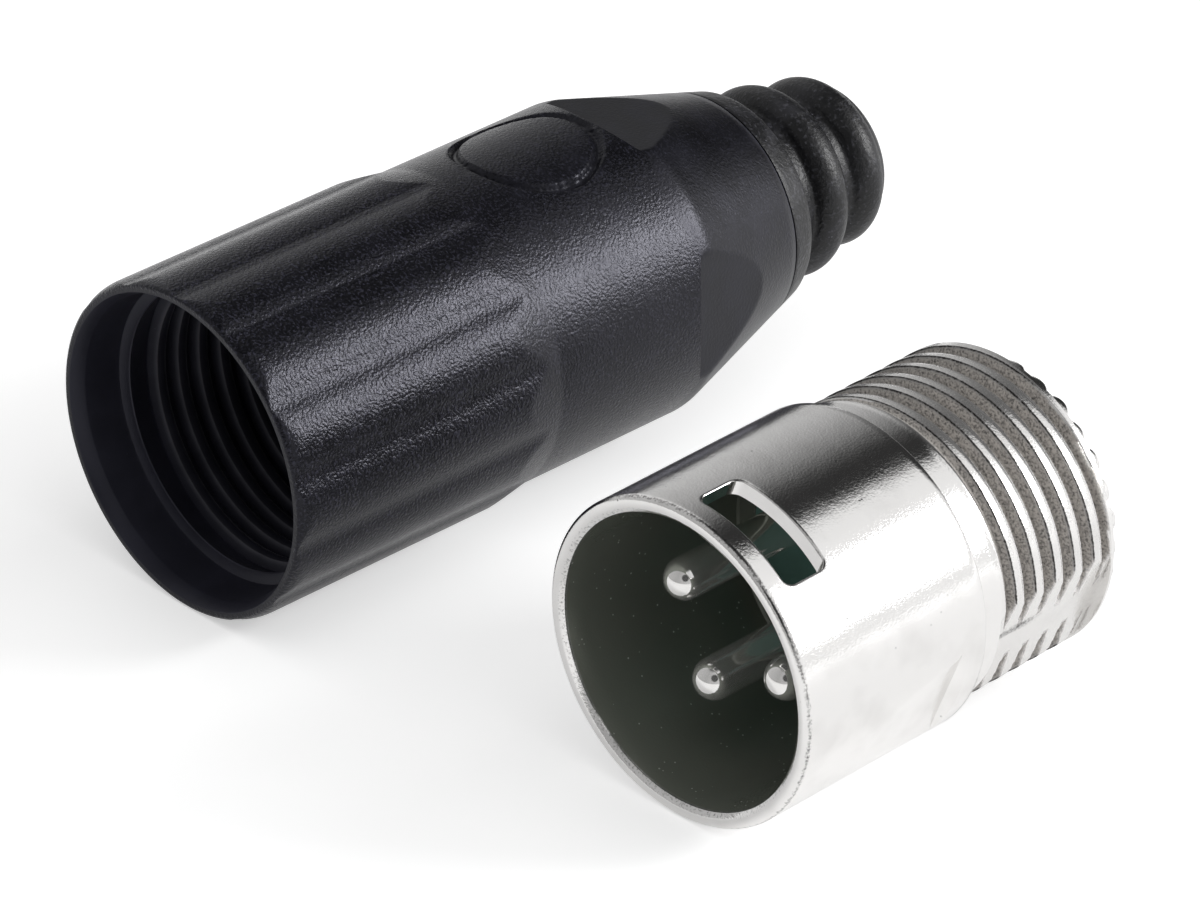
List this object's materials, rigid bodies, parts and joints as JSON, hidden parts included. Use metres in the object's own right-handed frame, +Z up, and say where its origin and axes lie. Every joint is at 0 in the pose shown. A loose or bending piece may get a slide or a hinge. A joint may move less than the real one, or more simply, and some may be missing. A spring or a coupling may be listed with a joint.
{
  "type": "xlr plug",
  "caption": "XLR cable plug taken apart: a nickel-plated front shell with contact pins and a threaded neck, and a black fluted rear housing with a ribbed boot.",
  "frame": {"origin": "on the surface that both halves lie on, under the centre of the plug's box", "axes": "+Z up, +Y along the front shell's axis from its mouth to its rear, +X towards the front shell's side"},
  "size_m": [0.051, 0.0488, 0.0189],
  "materials": {
    "nickel": "satin nickel plate over a die casting",
    "contact": "bright plated turned contact",
    "insert_plastic": "moulded, dark green",
    "housing_plastic": "moulded, spark-eroded grain",
    "clamp_plastic": "moulded, plain",
    "boot_rubber": "smooth, slightly shiny"
  },
  "bodies": {
    "root": {"front_shell": "nickel", "insert": "insert_plastic", "pin_1": "contact", "pin_2": "contact", "pin_3": "contact", "ground_tag": "contact", "rear_housing": "housing_plastic", "cable_clamp": "clamp_plastic", "boot": "boot_rubber"}
  },
  "joints": []
}
